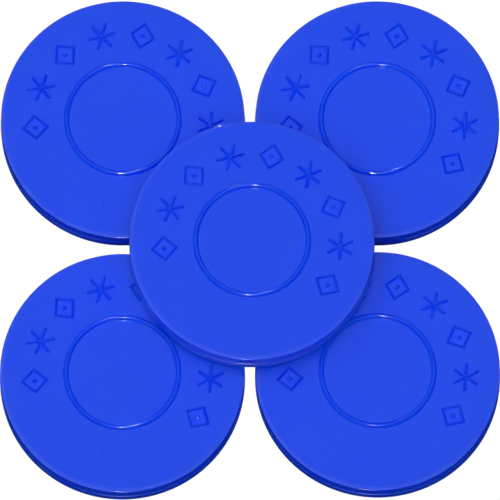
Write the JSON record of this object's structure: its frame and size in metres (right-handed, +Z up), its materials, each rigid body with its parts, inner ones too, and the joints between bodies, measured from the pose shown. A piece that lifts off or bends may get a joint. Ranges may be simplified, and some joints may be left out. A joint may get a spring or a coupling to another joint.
{
  "type": "set of plastic value tokens",
  "caption": "Round plastic tokens with a raised ring and an arc of raised marks, laid in a square with one more resting on top; paid in at a gate or counter.",
  "frame": {"origin": "on the table, under the middle of the square of tokens", "axes": "+Z up out of the tokens' faces, +X to the right along the front row, +Y from the front row to the back row"},
  "size_m": [0.051, 0.0516, 0.0076],
  "materials": {
    "blue_plastic": "satin-gloss injection-moulded plastic, deep blue right through"
  },
  "bodies": {
    "front_left": {"front_left_token": "blue_plastic"},
    "front_right": {"front_right_token": "blue_plastic"},
    "back_left": {"back_left_token": "blue_plastic"},
    "back_right": {"back_right_token": "blue_plastic"},
    "top": {"top_token": "blue_plastic"}
  },
  "joints": [
    {"name": "top_lift", "type": "slide", "parent": "front_left", "child": "top", "axis": [0, 0, 1], "range_m": [0, 0.03]},
    {"name": "front_right_slide", "type": "slide", "parent": "front_left", "child": "front_right", "axis": [0.7071, -0.7071, 0], "range_m": [0, 0.025]},
    {"name": "back_right_slide", "type": "slide", "parent": "front_left", "child": "back_right", "axis": [0.7071, 0.7071, 0], "range_m": [0, 0.025]},
    {"name": "back_left_slide", "type": "slide", "parent": "front_left", "child": "back_left", "axis": [-0.7071, 0.7071, 0], "range_m": [0, 0.025]}
  ]
}
